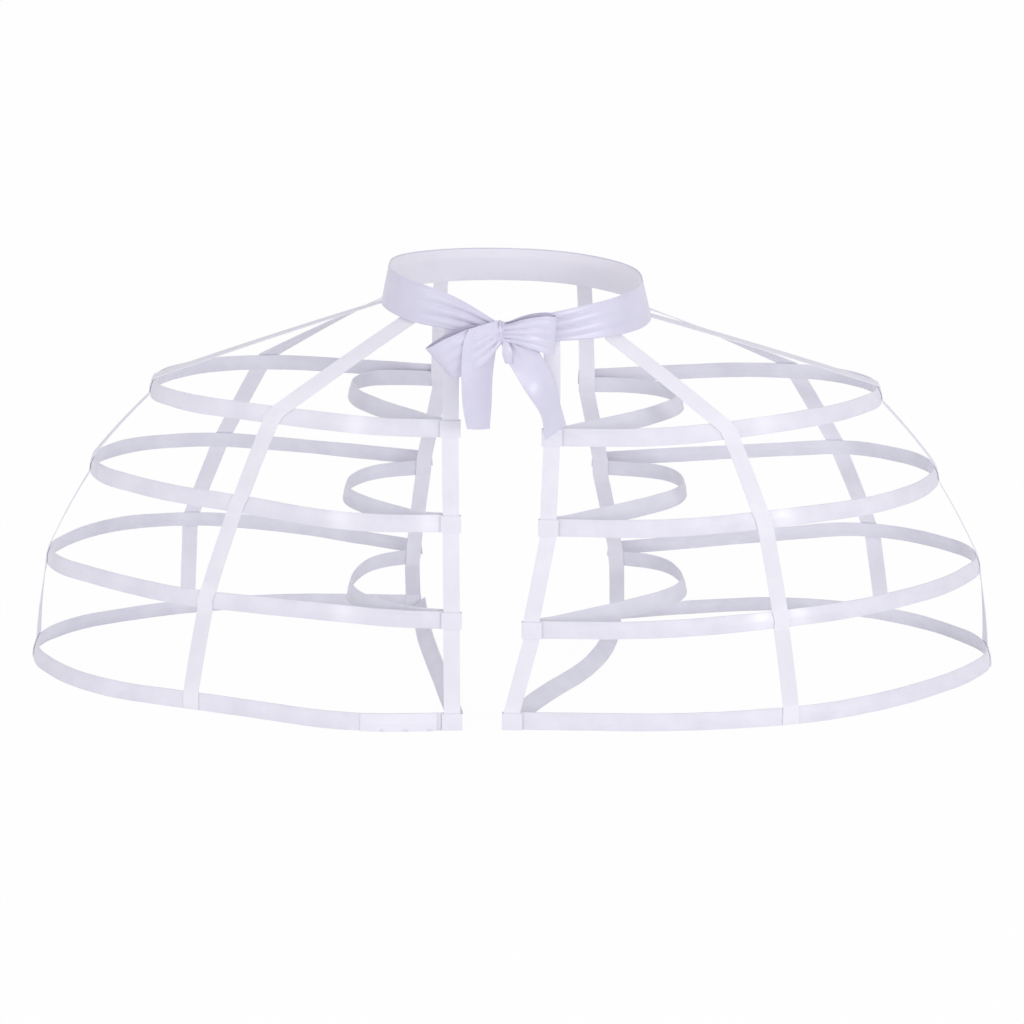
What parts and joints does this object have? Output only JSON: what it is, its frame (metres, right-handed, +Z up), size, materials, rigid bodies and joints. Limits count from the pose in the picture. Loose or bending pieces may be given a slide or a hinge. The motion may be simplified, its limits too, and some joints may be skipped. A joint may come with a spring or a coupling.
{
  "type": "bustle cage",
  "caption": "Pannier-style bustle cage: boned hoop casings and inner hip bands on woven tapes hung from a satin waist sash tied in a bow.",
  "frame": {"origin": "middle of the footprint at floor level, under the hem", "axes": "+Z up toward the waist, +X to the viewer's right as seen from in front, -Y toward the front where the bow is"},
  "size_m": [0.9874, 0.349, 0.4305],
  "materials": {
    "sash": "satin",
    "tape": "matt",
    "casing": "matt with a faint sheen",
    "bone": "coated white"
  },
  "bodies": {
    "root": {"left_front_tape": "tape", "left_front_side_tape": "tape", "left_side_tape": "tape", "left_back_side_tape": "tape", "left_rear_tape": "tape", "left_hoop_casing_1": "casing", "left_hoop_bone_1": "bone", "left_hip_casing_1": "casing", "left_hip_bone_1": "bone", "left_hoop_casing_2": "casing", "left_hoop_bone_2": "bone", "left_hip_casing_2": "casing", "left_hip_bone_2": "bone", "left_hoop_casing_3": "casing", "left_hoop_bone_3": "bone", "left_hip_casing_3": "casing", "left_hip_bone_3": "bone", "left_hoop_casing_4": "casing", "left_hoop_bone_4": "bone", "left_hip_casing_4": "casing", "left_hip_bone_4": "bone", "right_front_tape": "tape", "right_front_side_tape": "tape", "right_side_tape": "tape", "right_back_side_tape": "tape", "right_rear_tape": "tape", "right_hoop_casing_1": "casing", "right_hoop_bone_1": "bone", "right_hip_casing_1": "casing", "right_hip_bone_1": "bone", "right_hoop_casing_2": "casing", "right_hoop_bone_2": "bone", "right_hip_casing_2": "casing", "right_hip_bone_2": "bone", "right_hoop_casing_3": "casing", "right_hoop_bone_3": "bone", "right_hip_casing_3": "casing", "right_hip_bone_3": "bone", "right_hoop_casing_4": "casing", "right_hoop_bone_4": "bone", "right_hip_casing_4": "casing", "right_hip_bone_4": "bone", "waist_sash": "sash"}
  },
  "joints": []
}
